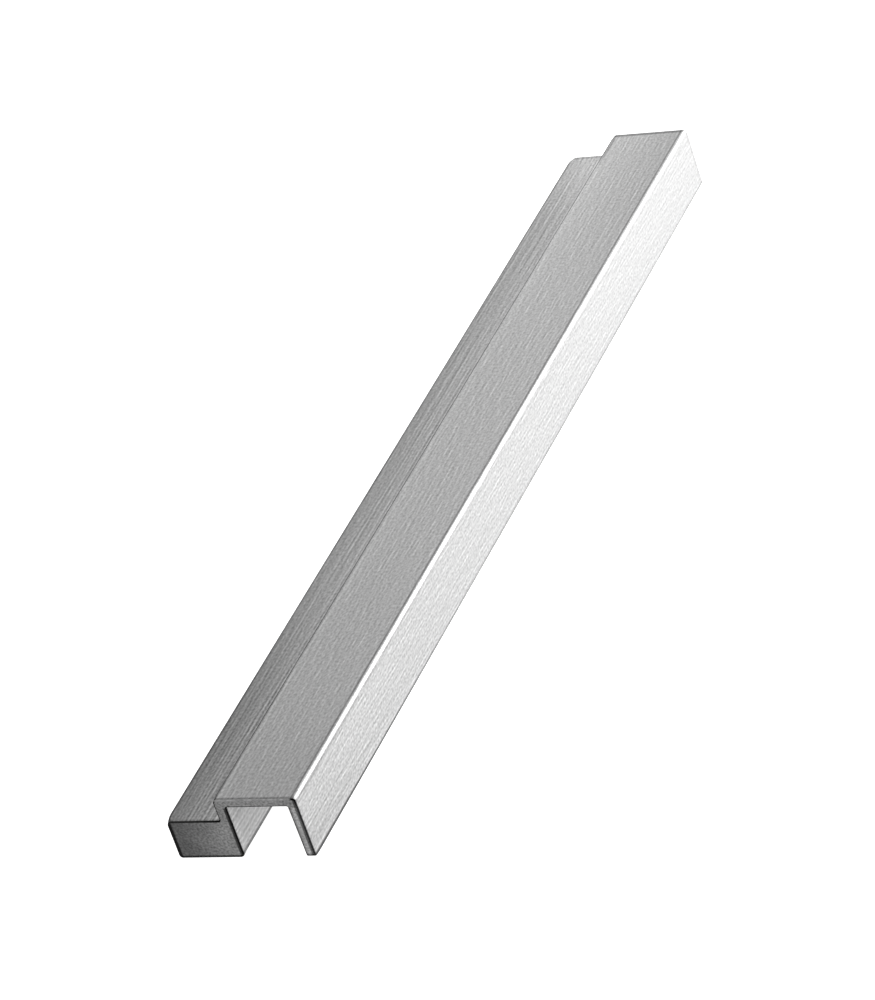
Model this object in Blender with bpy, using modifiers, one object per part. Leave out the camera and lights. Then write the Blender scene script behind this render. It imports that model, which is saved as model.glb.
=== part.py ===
"""Finger-pull handle for a drawer or door front, cut from one extruded aluminium profile.

The section is a solid mounting bar, screwed on from behind the front, that carries a thin
inverted channel: a web rises from the bar's front edge, a plate runs forward from it, and a
flange drops from the plate's far edge. Fingers reach up into the channel from below.

The origin is midway along and across the underside, so the handle stands on the plane Z = 0.
X runs along it, its mounting face looks along +Y, and the flange is its front.
"""

import math

import bmesh
import bpy
from mathutils import Matrix, Vector

# The profile's section, in metres: depths from the mounting face, heights from the underside.
DEPTH = 0.030
HEIGHT = 0.014
BAR_DEPTH = 0.0145
BAR_HEIGHT = 0.009
WEB_WALL = 0.0025
WALL = 0.0021

# The section's corners: soft ones round the bar and the plate's back, a crisper edge where the
# plate turns into the flange, a fine one at the flange's lip, and tight inner corners.
BAR_RADIUS = 0.0008
EDGE_RADIUS = 0.00057
LIP_RADIUS = 0.00032
INNER_RADIUS = 0.00025
ARC_STEPS = 6

# The cut length, and the width that its sawn ends lose to deburring.
LENGTH = 0.242
END_BREAK = 0.0003

# The two blind holes tapped M4: drilled at the thread's core, countersunk at the mouth.
HOLE_SPACING = 0.192
CORE_DIAMETER = 0.0033
HOLE_DEPTH = 0.0095
DRILL_POINT_ANGLE = math.radians(118)
SINK_DIAMETER = 0.0044
CUTTER_OVERRUN = 0.001
HOLE_STEPS = 24

MERGE_DISTANCE = 0.00001
SHARP_ANGLE = math.radians(35)


def clear_scene():
    for thing in list(bpy.data.objects):
        bpy.data.objects.remove(thing, do_unlink=True)


def new_collection(name):
    collection = bpy.data.collections.new(name)
    bpy.context.scene.collection.children.link(collection)
    return collection


def brushed_aluminium():
    material = bpy.data.materials.new("brushed_aluminium")
    material.use_nodes = True
    shader = material.node_tree.nodes["Principled BSDF"]
    shader.inputs["Base Color"].default_value = (0.58, 0.58, 0.59, 1.0)
    shader.inputs["Metallic"].default_value = 1.0
    shader.inputs["Roughness"].default_value = 0.34
    return material


def round_corner(before, corner, after, radius):
    """Points of the arc that rounds a corner of the outline, from its first side to its second."""
    to_before = (before - corner).normalized()
    to_after = (after - corner).normalized()
    half_angle = to_before.angle(to_after) / 2
    bisector = (to_before + to_after).normalized()
    centre = corner + bisector * (radius / math.sin(half_angle))
    start = corner + to_before * (radius / math.tan(half_angle)) - centre
    turn = start.angle_signed(corner + to_after * (radius / math.tan(half_angle)) - centre)
    arc = []
    for step in range(ARC_STEPS + 1):
        arc.append(centre + Matrix.Rotation(-turn * step / ARC_STEPS, 2) @ start)
    return arc


def section_outline():
    """The section's corners in order, as (depth, height) with each corner's radius, rounded."""
    web_back = BAR_DEPTH - WEB_WALL
    flange_back = DEPTH - WALL
    plate_underside = HEIGHT - WALL
    corners = [
        (Vector((0, 0)), BAR_RADIUS),
        (Vector((BAR_DEPTH, 0)), BAR_RADIUS),
        (Vector((BAR_DEPTH, plate_underside)), INNER_RADIUS),
        (Vector((flange_back, plate_underside)), INNER_RADIUS),
        (Vector((flange_back, 0)), LIP_RADIUS),
        (Vector((DEPTH, 0)), LIP_RADIUS),
        (Vector((DEPTH, HEIGHT)), EDGE_RADIUS),
        (Vector((web_back, HEIGHT)), BAR_RADIUS),
        (Vector((web_back, BAR_HEIGHT)), INNER_RADIUS),
        (Vector((0, BAR_HEIGHT)), BAR_RADIUS),
    ]
    outline = []
    for index, (corner, radius) in enumerate(corners):
        before = corners[index - 1][0]
        after = corners[(index + 1) % len(corners)][0]
        outline += round_corner(before, corner, after, radius)
    return outline


def extruded_profile(collection, material):
    """The section as a flat curve, extruded to the cut length and turned to lie along X."""
    outline = section_outline()
    curve = bpy.data.curves.new("section", "CURVE")
    curve.dimensions = "2D"
    curve.fill_mode = "BOTH"
    curve.extrude = LENGTH / 2
    spline = curve.splines.new("POLY")
    spline.points.add(len(outline) - 1)
    for point, (depth, height) in zip(spline.points, outline):
        point.co = (depth - DEPTH / 2, height, 0, 1)
    spline.use_cyclic_u = True

    drawing = bpy.data.objects.new("section", curve)
    collection.objects.link(drawing)
    depth_axis, height_axis = Vector((0, -1, 0)), Vector((0, 0, 1))
    turned = Matrix((depth_axis, height_axis, depth_axis.cross(height_axis))).transposed()
    drawing.matrix_world = turned.to_4x4()
    bpy.context.view_layer.update()

    drawn = drawing.evaluated_get(bpy.context.evaluated_depsgraph_get())
    mesh = bpy.data.meshes.new_from_object(drawn)
    profile = bpy.data.objects.new("handle_profile", mesh)
    profile.matrix_world = drawing.matrix_world.copy()
    collection.objects.link(profile)
    bpy.data.objects.remove(drawing, do_unlink=True)

    shape = bmesh.new()
    shape.from_mesh(mesh)
    bmesh.ops.remove_doubles(shape, verts=shape.verts, dist=MERGE_DISTANCE)
    bmesh.ops.dissolve_limit(shape, angle_limit=math.radians(1), verts=shape.verts, edges=shape.edges)
    bmesh.ops.recalc_face_normals(shape, faces=shape.faces)
    shape.to_mesh(mesh)
    shape.free()
    mesh.materials.clear()
    mesh.materials.append(material)
    return profile


def deburr_ends(profile):
    """A fine chamfer round both sawn faces, the only square edges that the profile has."""
    bevel = profile.modifiers.new("deburred_ends", "BEVEL")
    bevel.width = END_BREAK
    bevel.segments = 2
    bevel.limit_method = "ANGLE"
    bevel.angle_limit = math.radians(60)


def screw_hole_cutter(name, along, collection):
    """A drill's shape, turned about its axis: countersink, core and point, mouth outwards."""
    core, sink = CORE_DIAMETER / 2, SINK_DIAMETER / 2
    sink_depth = sink - core
    point_depth = core / math.tan(DRILL_POINT_ANGLE / 2)
    profile = [
        (0, CUTTER_OVERRUN),
        (sink, CUTTER_OVERRUN),
        (sink, 0),
        (core, -sink_depth),
        (core, -HOLE_DEPTH),
        (0, -HOLE_DEPTH - point_depth),
    ]
    mesh = bpy.data.meshes.new(name)
    vertices = [(radius, 0, height) for radius, height in profile]
    mesh.from_pydata(vertices, [(i, i + 1) for i in range(len(profile) - 1)], [])
    cutter = bpy.data.objects.new(name, mesh)
    collection.objects.link(cutter)
    turning = cutter.modifiers.new("turned", "SCREW")
    turning.steps = turning.render_steps = HOLE_STEPS
    turning.use_merge_vertices = True
    turning.merge_threshold = MERGE_DISTANCE
    cutter.location = (along, DEPTH / 2, BAR_HEIGHT / 2)
    cutter.rotation_euler = (-math.pi / 2, 0, 0)
    cutter.hide_render = True
    cutter.display_type = "WIRE"
    return cutter


def drill(profile, cutter):
    cut = profile.modifiers.new(cutter.name, "BOOLEAN")
    cut.operation = "DIFFERENCE"
    cut.solver = "EXACT"
    cut.object = cutter


clear_scene()
handle_parts = new_collection("finger_pull_handle")
cutters = new_collection("cutters")
handle = extruded_profile(handle_parts, brushed_aluminium())
deburr_ends(handle)
for side, end_name in ((-1, "left"), (1, "right")):
    drill(handle, screw_hole_cutter(f"screw_hole_{end_name}", side * HOLE_SPACING / 2, cutters))
handle.data.shade_smooth()
handle.data.set_sharp_from_angle(angle=SHARP_ANGLE)
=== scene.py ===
import math

import bmesh
import bpy
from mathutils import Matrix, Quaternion, Vector


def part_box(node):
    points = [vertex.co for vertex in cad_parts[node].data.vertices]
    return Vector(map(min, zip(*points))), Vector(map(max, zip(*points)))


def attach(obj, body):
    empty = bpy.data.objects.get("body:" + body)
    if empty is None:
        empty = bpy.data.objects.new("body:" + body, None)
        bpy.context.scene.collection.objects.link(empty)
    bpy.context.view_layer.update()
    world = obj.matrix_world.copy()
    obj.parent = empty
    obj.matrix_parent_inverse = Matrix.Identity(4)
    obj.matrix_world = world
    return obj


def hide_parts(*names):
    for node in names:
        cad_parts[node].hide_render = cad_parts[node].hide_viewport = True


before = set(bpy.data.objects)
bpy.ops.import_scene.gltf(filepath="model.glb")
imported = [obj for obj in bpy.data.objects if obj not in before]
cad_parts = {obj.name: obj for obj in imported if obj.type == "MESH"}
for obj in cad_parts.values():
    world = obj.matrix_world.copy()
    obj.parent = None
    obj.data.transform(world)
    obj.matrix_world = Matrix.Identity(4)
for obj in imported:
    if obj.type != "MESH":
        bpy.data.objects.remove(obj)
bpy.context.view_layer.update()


# The camera stands in front of the handle's near end, more than a metre away, and looks down
# along it through a long lens, tilted so that the handle leans across the tall picture.
camera_data = bpy.data.cameras.new("camera")
camera_data.lens = 188.608
camera_data.sensor_width = 36.0
camera_data.clip_start = 0.05
camera_data.clip_end = 20.0
camera = bpy.data.objects.new("camera", camera_data)
bpy.context.scene.collection.objects.link(camera)
camera.location = (-0.81472, -0.48128, 0.54909)
aim_azimuth = math.radians(-59.1264)
aim_elevation = math.radians(30.0975)
camera_roll = math.radians(19.3415)
away = Vector((
    math.sin(aim_azimuth) * math.cos(aim_elevation),
    -math.cos(aim_azimuth) * math.cos(aim_elevation),
    math.sin(aim_elevation),
))
camera.rotation_mode = "QUATERNION"
camera.rotation_quaternion = away.to_track_quat("Z", "Y") @ Quaternion((0, 0, 1), -camera_roll)
bpy.context.scene.camera = camera


# The handle is one length of extruded aluminium: a solid mounting bar that carries a thin inverted
# channel for the fingers. It is brushed lengthways and satin anodised outside, left as extruded
# inside the channel, and sawn off at both ends, where a file has taken the burr away.
low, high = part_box("handle_profile")
bar_depth = 0.0145
bar_height = 0.009
web_wall = 0.0025
wall = 0.0021
bar_top = low.z + bar_height
web_front = high.y - bar_depth
web_back = web_front + web_wall
flange_back = low.y + wall
ceiling = high.z - wall

back_radius = 0.0005
foot_radius = 0.0011
plate_radius = 0.00065
edge_radius = 0.00070
lip_radius = 0.0001
inner_radius = 0.00025
least_radius = 0.00001
arc_steps = 10

# The file has rounded the sawn edges, and has worn the profile a little for a short way in.
end_break = 0.00036
end_steps = 4
filed_length = 0.0025
filed_steps = 4
back_wear = 0.0002
underside_wear = 0.0002
lip_wear = 0.0001
web_burr = 0.0001
flange_burr = 0.00015
crease_angle = math.radians(35)

# The places of the handle's five finishes in its list of materials.
brushed, extruded, sawn, filed, tapped = range(5)


def outline(inset, filing):
    """The section's rounded outline as (y, z) points, drawn in by the inset on every side.

    The filing, from 0 to 1, is how far the file has gone. It takes metal off the bar's back, the
    plate's underside and the flange's lip, changes the outer radii, and leaves a burr inside.
    """
    back = high.y - back_wear * filing
    web_face = web_front - web_burr * filing
    underside = ceiling + underside_wear * filing
    lip = low.z + lip_wear * filing
    # Each corner's y and z, its radius, below 0 at an inner one, and what the filing adds to it.
    corners = [
        (back, low.z, back_radius, 0.0003),
        (web_face, low.z, foot_radius, -0.0001),
        (web_face, underside, -inner_radius, 0),
        (flange_back + flange_burr * filing, underside, -inner_radius, 0),
        (flange_back, lip, lip_radius, 0.0002),
        (low.y, lip, lip_radius, 0.0001),
        (low.y, high.z, edge_radius, 0),
        (web_back, high.z, plate_radius, 0.0003),
        (web_back, bar_top, -inner_radius, 0),
        (back, bar_top, back_radius, 0.0007),
    ]
    points = []
    for index, (y, z, radius, filed_off) in enumerate(corners):
        radius += filed_off * filing
        corner = Vector((y, z))
        arriving = (corner - Vector(corners[index - 1][:2])).normalized()
        leaving = (Vector(corners[(index + 1) % len(corners)][:2]) - corner).normalized()
        inward = Vector((arriving.y, -arriving.x)) + Vector((leaving.y, -leaving.x))
        bulge = max(abs(radius) - math.copysign(inset, radius), least_radius)
        centre = corner + inward * inset + (leaving - arriving) * bulge
        for step in range(arc_steps + 1):
            turn = step / arc_steps * math.pi / 2
            points.append(centre - leaving * bulge * math.cos(turn) + arriving * bulge * math.sin(turn))
    return points


def profile_mesh():
    """Rings of the outline along X, drawn in over the filed edges, with a flat face on each end."""
    end_rings = []
    for step in range(end_steps + 1):
        turn = math.pi / 2 * (1 - step / end_steps)
        end_rings.append((end_break * (1 - math.sin(turn)), end_break * (1 - math.cos(turn)), 1))
    for step in range(1, filed_steps + 1):
        part_way = step / filed_steps
        end_rings.append((end_break + filed_length * part_way, 0, (1 - part_way) ** 2))
    stations = [(low.x + along, inset, filing) for along, inset, filing in end_rings]
    stations += [(high.x - along, inset, filing) for along, inset, filing in reversed(end_rings)]
    mesh = bmesh.new()
    rings = []
    for x, inset, filing in stations:
        rings.append([mesh.verts.new((x, y, z)) for y, z in outline(inset, filing)])
    # The sides of the channel, from the foot of the web to the flange's lip.
    channel = range(2 * arc_steps + 1, 4 * (arc_steps + 1))
    for number, (ring, following) in enumerate(zip(rings, rings[1:])):
        at_an_end = number < end_steps - 1 or number >= len(rings) - end_steps
        for index in range(len(ring)):
            other = (index + 1) % len(ring)
            face = mesh.faces.new((ring[index], ring[other], following[other], following[index]))
            face.material_index = filed if at_an_end else extruded if index in channel else brushed
    for ring in (rings[0], rings[-1]):
        mesh.faces.new(ring).material_index = sawn
    bmesh.ops.recalc_face_normals(mesh, faces=mesh.faces)
    return mesh


data = bpy.data.meshes.new("brushed_profile")
mesh = profile_mesh()
mesh.to_mesh(data)
mesh.free()
profile = bpy.data.objects.new("brushed_profile", data)
bpy.context.scene.collection.objects.link(profile)


class Value:
    """A socket of a node tree, which takes part in sums as a number does."""

    def __init__(self, tree, socket=None):
        self.tree = tree
        self.socket = socket

    def node(self, kind, settings, sockets, output=0):
        """A new node: its settings first, then a value or a link for each of the named sockets."""
        made = self.tree.nodes.new(kind)
        for name, setting in settings.items():
            setattr(made, name, setting)
        for name, given in sockets.items():
            if isinstance(given, Value):
                self.tree.links.new(given.socket, made.inputs[name])
            else:
                made.inputs[name].default_value = given
        return Value(self.tree, made.outputs[output])

    def math(self, operation, *numbers):
        return self.node("ShaderNodeMath", {"operation": operation}, dict(enumerate(numbers)))

    def __add__(self, other):
        return self.math("ADD", self, other)

    __radd__ = __add__

    def __sub__(self, other):
        return self.math("SUBTRACT", self, other)

    def __rsub__(self, other):
        return self.math("SUBTRACT", other, self)

    def __mul__(self, other):
        return self.math("MULTIPLY", self, other)

    __rmul__ = __mul__

    def fade(self, start, end):
        """From 0 where this value is at the start to 1 where it is at the end, smoothly."""
        smoothly = {"interpolation_type": "SMOOTHSTEP"}
        return self.node("ShaderNodeMapRange", smoothly, {"Value": self, 1: start, 2: end})

    def band(self, start, full, still_full, end):
        """1 where this value is between the two middle numbers, fading to 0 at the outer two."""
        return self.fade(start, full) * self.fade(end, still_full)


class Metal:
    """A bare metal finish: its place on the handle, in metres, and the sockets of its shader."""

    def __init__(self, name):
        self.material = bpy.data.materials.new(name)
        self.material.use_nodes = True
        self.tree = self.material.node_tree
        self.shader = self.tree.nodes["Principled BSDF"]
        self.shader.inputs["Metallic"].default_value = 1.0
        place = Value(self.tree).node("ShaderNodeTexCoord", {}, {}, "Object")
        self.along, self.across, self.height = (
            place.node("ShaderNodeSeparateXYZ", {}, {"Vector": place}, axis) for axis in "XYZ"
        )
        self.down_grain, self.over_grain = self.along, self.across + self.height

    def noise(self, length, width, seed, moved=0.0, detail=0.0):
        """Smooth noise about 0, in patches of a length down the grain and a width over it, in mm."""
        down = self.down_grain * (1000 / length) + seed
        over = self.over_grain * (1000 / width) + (seed * 3 + moved / width)
        place = down.node("ShaderNodeCombineXYZ", {}, {"X": down, "Y": over})
        patches = {"Vector": place, "Scale": 1.0, "Detail": detail}
        return place.node("ShaderNodeTexNoise", {"noise_dimensions": "2D"}, patches) - 0.5

    def scratches(self, length, seed, width=0.45, apart=0.52):
        """Scratches of a length in mm, each a light line with a dark one close beside it."""
        return self.noise(length, width, seed) - self.noise(length, width, seed, moved=apart)

    def finish(self, tone, roughness, relief):
        """Sets the grey tone, the even roughness and the relief in metres, and ends the material."""
        grey = tone.node("ShaderNodeCombineColor", {}, {"Red": tone, "Green": tone, "Blue": tone})
        bump = relief.node("ShaderNodeBump", {}, {"Strength": 1.0, "Distance": 1.0, "Height": relief})
        self.tree.links.new(grey.socket, self.shader.inputs["Base Color"])
        self.shader.inputs["Roughness"].default_value = roughness
        self.tree.links.new(bump.socket, self.shader.inputs["Normal"])
        return self.material


def brushed_aluminium():
    """Long scratches, short dashes and flecks down the profile, with painted shade and painted highlights:
    fine lines beside its edges and a tone that shifts along it.
    """
    metal = Metal("brushed_aluminium")
    along, across, height = metal.along, metal.across, metal.height
    cloud = metal.noise(length=60, width=9, seed=1.3)
    streaks = metal.scratches(length=60, seed=5.1)
    dashes = metal.scratches(length=5, seed=9.7)
    flecks = metal.noise(length=0.7, width=0.42, seed=17.9)
    hairlines = metal.noise(length=9, width=0.09, seed=14.2)
    bright_dashes = dashes.math("MAXIMUM", dashes - 0.22, 0.0)

    from_near, from_far = along - low.x, high.x - along
    from_front, from_back = across - low.y, high.y - across
    from_foot, from_top = height - low.z, high.z - height
    from_seam, over_bar = across - web_back, height - bar_top
    near_half = along.fade(-0.030, -0.100)
    near_end = along.fade(-0.085, -0.118)
    far_half = along.fade(0.0, high.x)
    far_end = from_far.fade(0.030, 0.0)
    far_step = from_far.fade(0.016, 0.005)
    on_top = from_top.fade(0.0006, 0.0001)
    on_bar = over_bar.fade(0.0006, 0.0) * across.fade(-0.001, 0.0)
    on_flange = from_front.fade(0.0012, 0.0002)

    # Painted shade: the bar is painted darker than the plate and the flange, most of all at its back and
    # its near end, and every face's tone shifts along the handle as the light falls.
    to_back = from_back.fade(0.009, 0.0005)
    to_front = across.fade(web_back, low.y)
    to_lip = from_foot.fade(0.010, 0.002)
    bar_painted_darkening = 0.07 + 0.08 * to_back + (0.09 + 0.05 * to_back) * near_half
    bar_painted_darkening = bar_painted_darkening - 0.04 * far_half - 0.14 * far_end
    top_painted_darkening = 0.025 * near_half - (0.05 - 0.13 * to_front) * far_half
    flange_painted_darkening = 0.02 * far_half + 0.05 * near_half * to_lip
    near_end_painted_darkening = 0.045 * near_end * (1 - on_bar)
    tone = 0.66 - on_bar * bar_painted_darkening - on_top * top_painted_darkening - on_flange * flange_painted_darkening - near_end_painted_darkening

    # Fine painted highlights beside the edges and at the burr: lines of light painted into the tone.
    from_edge = from_front - 0.0002 * far_half
    from_lip = from_foot - 0.0002 * near_end
    edge_painted_highlight = on_top * from_edge.fade(0.0008, 0.0005)
    seam_painted_highlight = on_top * from_seam.band(-0.0020, -0.0016, -0.0011, -0.0008)
    far_seam_painted_highlight = far_half * from_seam.band(-0.0040, -0.0010, 0.0010, 0.0035)
    lip_painted_highlight = on_flange * near_half * from_lip.band(0.0006, 0.0009, 0.0011, 0.0015)
    burr_painted_highlight = on_bar * from_near.fade(0.0020, 0.0014) * from_seam.fade(0.0012, 0.0006)
    edge_highlight_gain = 0.40 - 0.36 * near_half
    seam_highlight_gain = 0.10 - 0.08 * far_half
    painted_highlights = 1 + edge_highlight_gain * edge_painted_highlight + seam_highlight_gain * seam_painted_highlight + 0.06 * far_seam_painted_highlight
    tone_with_painted_light = tone * (painted_highlights + 0.20 * lip_painted_highlight + 0.9 * burr_painted_highlight)

    # Fine painted shade beside the edges, in the inner corner, at the foot and along the ends: dark lines
    # painted into the tone.
    off_foot = from_foot.fade(0.0, 0.0001)
    edge_painted_shade = on_top * from_edge.band(0.0006, 0.0009, 0.0010, 0.0013)
    seam_painted_shade = on_top * from_seam.fade(-0.0010, -0.0006)
    step_painted_shade = on_top * from_seam.fade(-0.0015, -0.0010) * far_step
    back_painted_shade = on_bar * over_bar.fade(-0.0009, -0.0005) * from_back.fade(0.0010, 0.0005)
    lip_painted_shade = off_foot * from_lip.fade(0.0007, 0.0004) * from_front.fade(0.003, 0.002)
    under_edge_painted_shade = on_flange * from_top.band(0.0005, 0.0008, 0.0010, 0.0014)
    foot_painted_shade = off_foot * from_foot.fade(0.0013, 0.0009) * from_front.band(0.010, 0.011, 0.018, 0.019)
    by_corner = from_seam.band(-0.0010, 0.0, 0.0003, 0.0006)
    corner_painted_shade = by_corner * over_bar.band(-0.0010, -0.0001, 0.0003, 0.0006)
    near_rim_painted_shade = on_top * from_near.fade(0.0009, 0.0006)
    far_rim_painted_shade = from_far.fade(0.0014, 0.0010)
    edge_dark = 0.50 - 0.08 * far_half
    seam_dark = 0.13 - 0.20 * far_half + 0.27 * near_half
    back_dark = 0.30 + 0.30 * near_half + 0.15 * far_step
    lip_dark = 0.38 - 0.10 * far_half + 0.45 * near_half
    under_dark = 0.04 + 0.20 * near_half
    end_dark = 0.50 - 0.35 * on_flange - 0.25 * on_bar
    tone_with_painted_light = tone_with_painted_light * (1 - edge_dark * edge_painted_shade - seam_dark * seam_painted_shade - 0.45 * step_painted_shade)
    tone_with_painted_light = tone_with_painted_light * (1 - back_dark * back_painted_shade)
    tone_with_painted_light = tone_with_painted_light * (1 - lip_dark * lip_painted_shade - under_dark * under_edge_painted_shade)
    tone_with_painted_light = tone_with_painted_light * (1 - 0.75 * foot_painted_shade - 0.45 * corner_painted_shade - 0.35 * near_rim_painted_shade)
    tone_with_painted_light = tone_with_painted_light * (1 - end_dark * far_rim_painted_shade)

    # The brushing shows as flecks on the plate and the flange, and as streaks too on the bar.
    flecked = 0.52 + on_bar * (0.05 + 0.14 * near_half)
    streaked = 0.14 + on_bar * (0.38 + 0.13 * near_half - 0.14 * far_half)
    grain = flecked * flecks + 0.20 * dashes + 0.35 * bright_dashes + streaked * streaks
    grain = grain * (1 + on_flange * (0.17 * near_half - 0.03 - 0.22 * far_half))
    relief = 0.000009 * hairlines + 0.000008 * dashes + 0.000008 * streaks
    return metal.finish(tone_with_painted_light * (1 + 0.05 * cloud + grain), roughness=0.31, relief=relief)


def extruded_aluminium():
    """The die's own finish inside the channel: duller, with drawn lines; its lower grey is partly that
    finish and partly painted shade, which is darkest at its foot.
    """
    metal = Metal("extruded_aluminium")
    drawn_lines = metal.scratches(length=40, seed=2.6)
    flecks = metal.scratches(length=0.8, seed=7.7)
    # Painted shade along the foot of the channel.
    foot_painted_shade = metal.height.fade(low.z + 0.0015, low.z + 0.0011) * metal.across.fade(-0.006, -0.002)
    tone = 0.50 * (1 - 0.70 * foot_painted_shade) * (1 + 0.35 * drawn_lines + 0.25 * flecks)
    return metal.finish(tone, roughness=0.42, relief=0.000010 * drawn_lines)


def sawn_aluminium():
    """A sawn end: dull, with an even fine grain, and painted shade: a low tone, lighter to the front,
    darker at the bar's back and by its filed edges.
    """
    metal = Metal("sawn_aluminium")
    across, height = metal.across, metal.height
    metal.down_grain, metal.over_grain = across, height
    grain = metal.noise(length=0.5, width=0.45, seed=3.9, detail=1.0)
    cloud = metal.noise(length=4, width=4, seed=8.8)
    to_front = across.fade(high.y - 0.001, high.y - 0.014)
    on_flange = across.fade(flange_back + 0.0006, flange_back - 0.0002)
    under_plate = height.fade(ceiling + 0.0003, ceiling - 0.0001)

    # Painted shade darkens the metal in bands next to the edges, down to a least tone.
    by_back = across.fade(high.y - 0.0013, high.y - 0.0010)
    by_foot = height.fade(low.z + 0.0008, low.z + 0.0006)
    by_channel = across.band(-0.001, 0.0, web_front + 0.0005, web_front + 0.0008) * under_plate
    by_front = across.fade(low.y + 0.0009, low.y + 0.0006)
    by_fingers = across.fade(flange_back - 0.0008, flange_back - 0.0004) * on_flange * under_plate
    by_plate = height.fade(ceiling + 0.0006, ceiling + 0.0003) * (1 - under_plate)
    by_plate = by_plate * across.fade(0.0, -0.001) * (1 - on_flange)
    painted_shade_factor = 1 - 0.92 * by_back - (0.8 - 0.3 * on_flange) * by_foot - 0.8 * by_channel
    painted_shade_factor = painted_shade_factor - 0.7 * by_front - 0.4 * by_fingers - 0.65 * by_plate
    painted_shade_factor = painted_shade_factor.math("MAXIMUM", painted_shade_factor, 0.06)
    # The end's low grey, lighter towards the front and on the flange, is painted shade.
    tone = (0.135 + 0.155 * to_front + 0.17 * on_flange * under_plate) * painted_shade_factor
    tone = tone * (1 + 1.3 * grain + 0.3 * cloud)
    return metal.finish(tone, roughness=0.55, relief=0.00002 * grain)


def filed_aluminium():
    """The narrow filed edge round each end: nearly black with painted shade, and with a painted highlight
    over one plate end.
    """
    metal = Metal("filed_aluminium")
    across, height = metal.across, metal.height
    metal.down_grain, metal.over_grain = across, height
    grain = metal.noise(length=0.6, width=0.4, seed=6.3)
    on_plate = height.fade(high.z - 0.0006, high.z - 0.0002) * across.fade(low.y + 0.0008, low.y + 0.0016)
    on_bar = height.fade(bar_top - 0.0008, bar_top - 0.0003) * across.fade(0.003, 0.010)
    on_flange = height.fade(high.z - 0.0006, high.z - 0.0020) * across.fade(low.y + 0.0010, low.y + 0.0006)
    # A painted highlight along the near plate end's edge, over a near-black tone of painted shade.
    near_plate_edge_painted_highlight = on_plate * metal.along.fade(0.0, -0.01)
    tone = (0.010 + 0.025 * (on_bar + on_flange) + 0.46 * near_plate_edge_painted_highlight) * (1 + 0.6 * grain)
    return metal.finish(tone, roughness=0.5, relief=0.00001 * grain)


def tapped_aluminium():
    """The cut thread: bright and smooth, with the tap's faint turning marks."""
    metal = Metal("tapped_aluminium")
    marks = metal.noise(length=0.2, width=0.2, seed=11.5)
    return metal.finish(0.62 * (1 + 0.2 * marks), roughness=0.3, relief=0.000006 * marks)


data.materials.append(brushed_aluminium())
data.materials.append(extruded_aluminium())
data.materials.append(sawn_aluminium())
data.materials.append(filed_aluminium())
data.materials.append(tapped_aluminium())


# Two blind holes in the bar's back face take the M4 screws that come through the drawer front.
# Each is drilled, countersunk at its mouth, and tapped to within two turns of its bottom.
hole_spacing = 0.192
core_radius = 0.00165
thread_radius = 0.0020
thread_pitch = 0.0007
thread_steepness = 1.25
thread_end = 0.0080
hole_depth = 0.0095
drill_point_angle = math.radians(118)
point_length = core_radius / math.tan(drill_point_angle / 2)
sink_radius = 0.0022
cutter_overrun = 0.0005
turn_steps = 40
rings_per_turn = 8


def hole_radius(depth, turn):
    """The hole's radius at a depth and a turn about its axis: countersink, thread, plain core."""
    phase = (depth / thread_pitch - turn / math.tau) % 1
    crest = min(1, thread_steepness * (1 - abs(2 * phase - 1)))
    fading = min(1, max(0, (thread_end - depth) / thread_pitch))
    cut = core_radius + (thread_radius - core_radius) * crest * fading
    return max(cut, sink_radius - depth)


def hole_cutter(along):
    """A closed solid in the tapped hole's shape, which reaches a little out of the back face."""
    axis_height = low.z + bar_height / 2
    ring_count = round(hole_depth / thread_pitch * rings_per_turn)
    depths = [-cutter_overrun, 0] + [hole_depth * (number + 1) / ring_count for number in range(ring_count)]
    mesh = bmesh.new()
    rings = []
    for depth in depths:
        ring = []
        for step in range(turn_steps):
            turn = math.tau * step / turn_steps
            radius = sink_radius if depth <= 0 else hole_radius(depth, turn)
            across = radius * math.cos(turn)
            up = radius * math.sin(turn)
            ring.append(mesh.verts.new((along + across, high.y - depth, axis_height + up)))
        rings.append(ring)
    tip = mesh.verts.new((along, high.y - hole_depth - point_length, axis_height))
    for ring, deeper in zip(rings, rings[1:]):
        for index in range(turn_steps):
            other = (index + 1) % turn_steps
            mesh.faces.new((ring[index], ring[other], deeper[other], deeper[index]))
    for index in range(turn_steps):
        mesh.faces.new((rings[-1][index], rings[-1][(index + 1) % turn_steps], tip))
    mesh.faces.new(rings[0])
    for face in mesh.faces:
        face.material_index = tapped
    bmesh.ops.recalc_face_normals(mesh, faces=mesh.faces)
    cutter_data = bpy.data.meshes.new("tapped_hole")
    mesh.to_mesh(cutter_data)
    mesh.free()
    for material in data.materials:
        cutter_data.materials.append(material)
    cutter = bpy.data.objects.new("tapped_hole", cutter_data)
    bpy.context.scene.collection.objects.link(cutter)
    return cutter


cutters = [hole_cutter(-hole_spacing / 2), hole_cutter(hole_spacing / 2)]
for cutter in cutters:
    drilling = profile.modifiers.new("drilled", "BOOLEAN")
    drilling.operation = "DIFFERENCE"
    drilling.solver = "EXACT"
    drilling.object = cutter
bpy.context.view_layer.update()
drilled = profile.evaluated_get(bpy.context.evaluated_depsgraph_get())
profile.data = bpy.data.meshes.new_from_object(drilled)
profile.modifiers.clear()
for cutter in cutters:
    bpy.data.objects.remove(cutter, do_unlink=True)
profile.data.shade_smooth()
profile.data.set_sharp_from_angle(angle=crease_angle)
weighting = profile.modifiers.new("flat_faces_stay_flat", "WEIGHTED_NORMAL")
weighting.weight = 100
weighting.keep_sharp = True
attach(profile, "root")
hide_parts("handle_profile")


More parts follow.
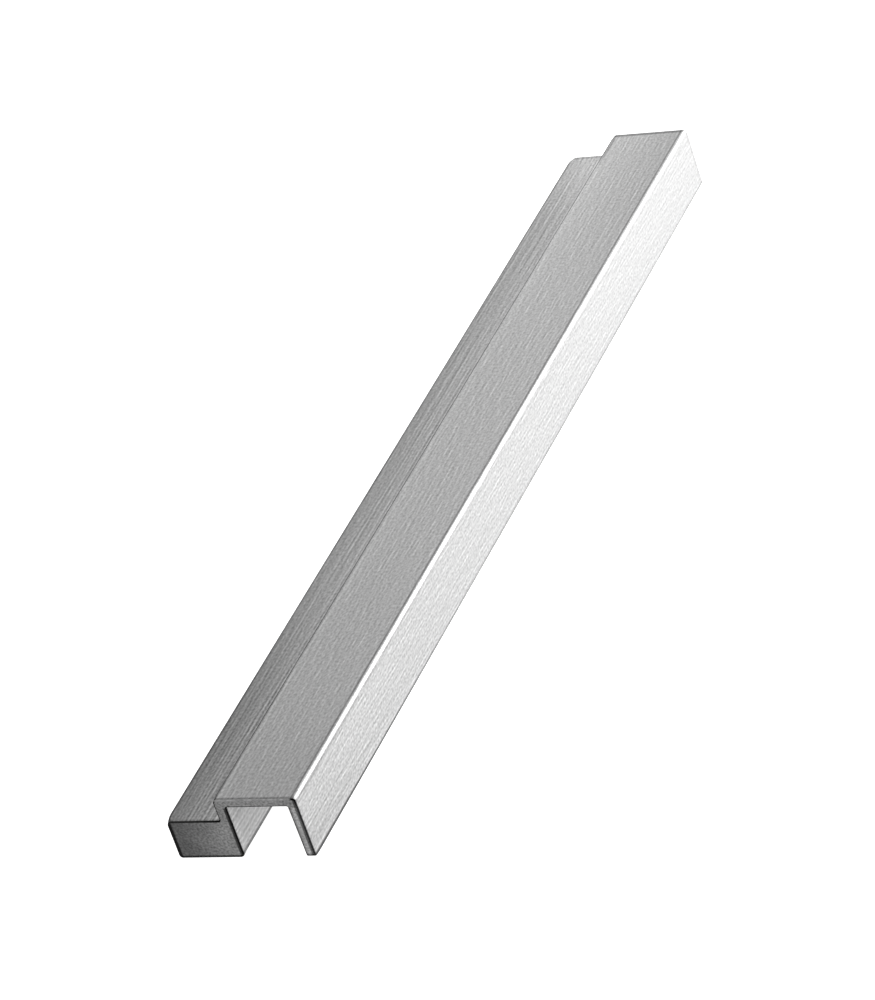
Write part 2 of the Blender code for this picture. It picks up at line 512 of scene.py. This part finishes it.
# The handle lies on a broad light table, a sheet of white acrylic that glows all over, so nothing
# shows behind it. The metal doesn't mirror the sheet: the studio's lower half stands for it there.
floor_data = bpy.data.meshes.new("light_table")
mesh = bmesh.new()
bmesh.ops.create_grid(mesh, x_segments=8, y_segments=8, size=3.0)
mesh.to_mesh(floor_data)
mesh.free()
floor = bpy.data.objects.new("light_table", floor_data)
bpy.context.scene.collection.objects.link(floor)
acrylic = bpy.data.materials.new("white_acrylic")
acrylic.use_nodes = True
surface = acrylic.node_tree.nodes["Principled BSDF"]
surface.inputs["Base Color"].default_value = (0.9, 0.9, 0.9, 1.0)
surface.inputs["Roughness"].default_value = 0.6
surface.inputs["Emission Color"].default_value = (1.0, 1.0, 1.0, 1.0)
surface.inputs["Emission Strength"].default_value = 1.0
floor_data.materials.append(acrylic)
floor.visible_glossy = False


# The studio is a dim grey room, paler below and at the handle's near end, with one great round
# soft light beyond the far end, in front. The ceiling, and the floor in front, grow brighter
# towards that end too, so the brushed faces catch more and more light along the handle.
world = bpy.data.worlds.new("studio")
bpy.context.scene.world = world
world.use_nodes = True
values = Value(world.node_tree)
background = world.node_tree.nodes["Background"]
background.inputs["Color"].default_value = (1, 1, 1, 1)
direction = values.node("ShaderNodeTexCoord", {}, {}, "Generated")
east, north, up = (
    direction.node("ShaderNodeSeparateXYZ", {}, {"Vector": direction}, axis) for axis in "XYZ"
)
light_centre = Vector((0.85, -0.39, 0.35)).normalized()
light_core = math.radians(34)
light_rim = math.radians(42)
light_strength = 2.1
from_centre = {0: direction, 1: light_centre}
towards_light = direction.node("ShaderNodeVectorMath", {"operation": "DOT_PRODUCT"}, from_centre, 1)
soft_light = towards_light.fade(math.cos(light_rim), math.cos(light_core)) * north.fade(0.02, -0.18)
overhead = up.fade(0.0, 0.6)
below = up.fade(0.0, -0.35)
below_front = north.fade(0.35, -0.35)
to_north = north.fade(-0.05, 0.28)
west = east.fade(0.45, -0.1)
growth = east.math("MINIMUM", east.math("EXPONENT", 8 * (east - 0.735)), 1.9)
glow = (
    0.07 + 0.18 * west
    + overhead * (0.045 + growth * (0.36 + 0.28 * to_north) + 0.40 * west)
    + below * (0.42 + 0.20 * west + below_front * (0.71 * growth + 0.15 * west))
    + light_strength * soft_light
)
world.node_tree.links.new(glow.socket, background.inputs["Strength"])
bpy.context.scene.view_settings.view_transform = "Standard"
